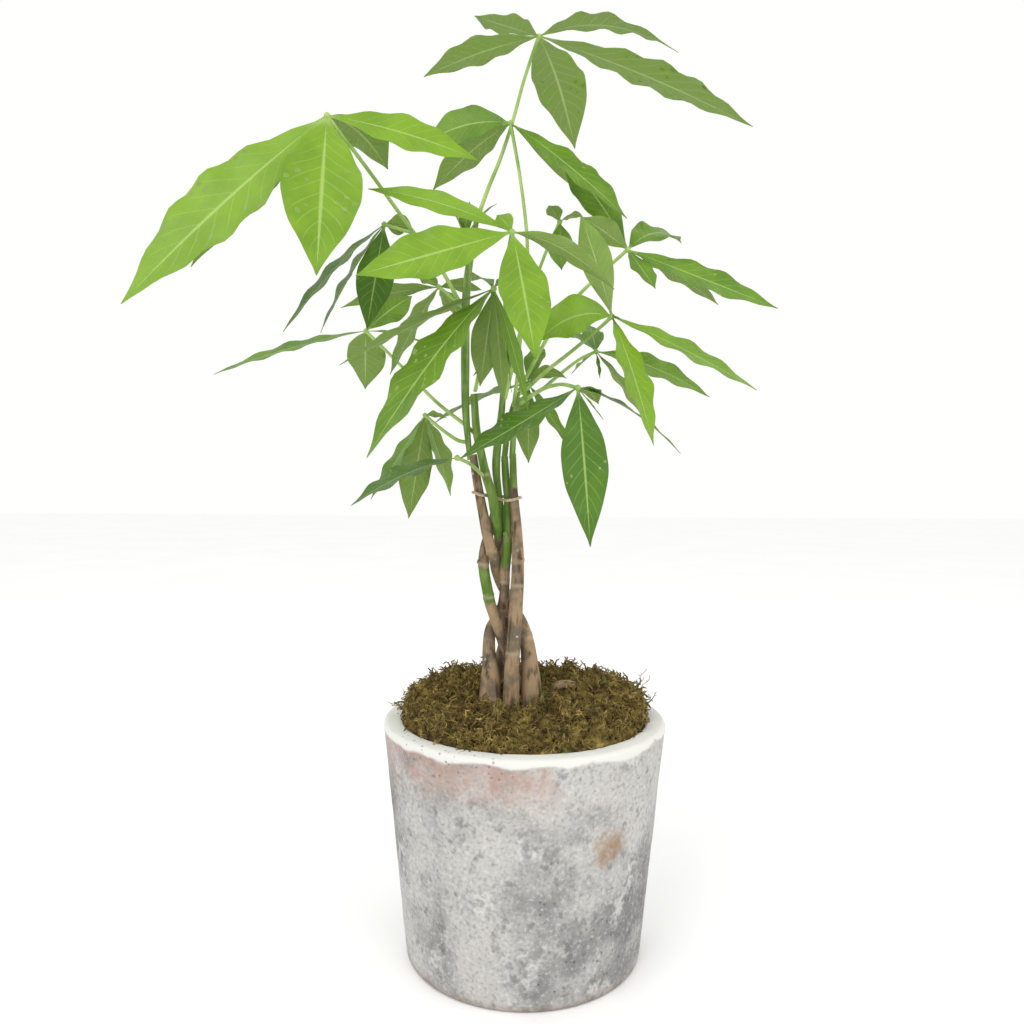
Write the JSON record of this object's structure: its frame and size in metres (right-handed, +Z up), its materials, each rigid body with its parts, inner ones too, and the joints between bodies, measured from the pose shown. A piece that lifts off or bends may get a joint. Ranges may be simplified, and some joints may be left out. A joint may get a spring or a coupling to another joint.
{
  "type": "potted money tree",
  "caption": "Braided money tree with palmate leaves on green shoots, moss over the soil, in a tapered whitewashed pot.",
  "frame": {"origin": "middle of the pot's flat base, on the surface it stands on", "axes": "+Z up along the pot's axis; the plant's front faces -Y, and +X is to the right of it"},
  "size_m": [0.406, 0.236, 0.646],
  "materials": {
    "pot": "whitewashed, weathered earthenware, matt",
    "soil": "dark potting soil, loose and matt",
    "moss": "dried olive-brown moss",
    "bark": "grey-tan young bark with scars",
    "shoot": "smooth green young shoot",
    "raffia": "pale raffia strand",
    "leaf": "glossy green leaf, paler below"
  },
  "bodies": {
    "root": {"pot": "pot", "soil": "soil", "moss": "moss", "stem_left": "bark", "stem_outer": "bark", "stem_inner": "bark", "stem_green": "bark", "stem_front": "bark", "root_piece": "bark", "shoot_centre": "shoot", "shoot_tall": "shoot", "shoot_mid": "shoot", "shoot_right": "shoot", "tie": "raffia", "leaf_crown": "leaf", "leaf_upper_middle": "leaf", "leaf_left_large": "leaf", "leaf_front_upper": "leaf", "leaf_left_inner": "leaf", "leaf_left_back": "leaf", "leaf_left_middle": "leaf", "leaf_front_middle": "leaf", "leaf_young_upper": "leaf", "leaf_right_upper": "leaf", "leaf_right_middle": "leaf", "leaf_right_back": "leaf", "leaf_front_lower": "leaf", "leaf_middle_lower": "leaf", "leaf_left_lower": "leaf", "leaf_left_lowest": "leaf", "leaf_apex": "leaf"}
  },
  "joints": []
}
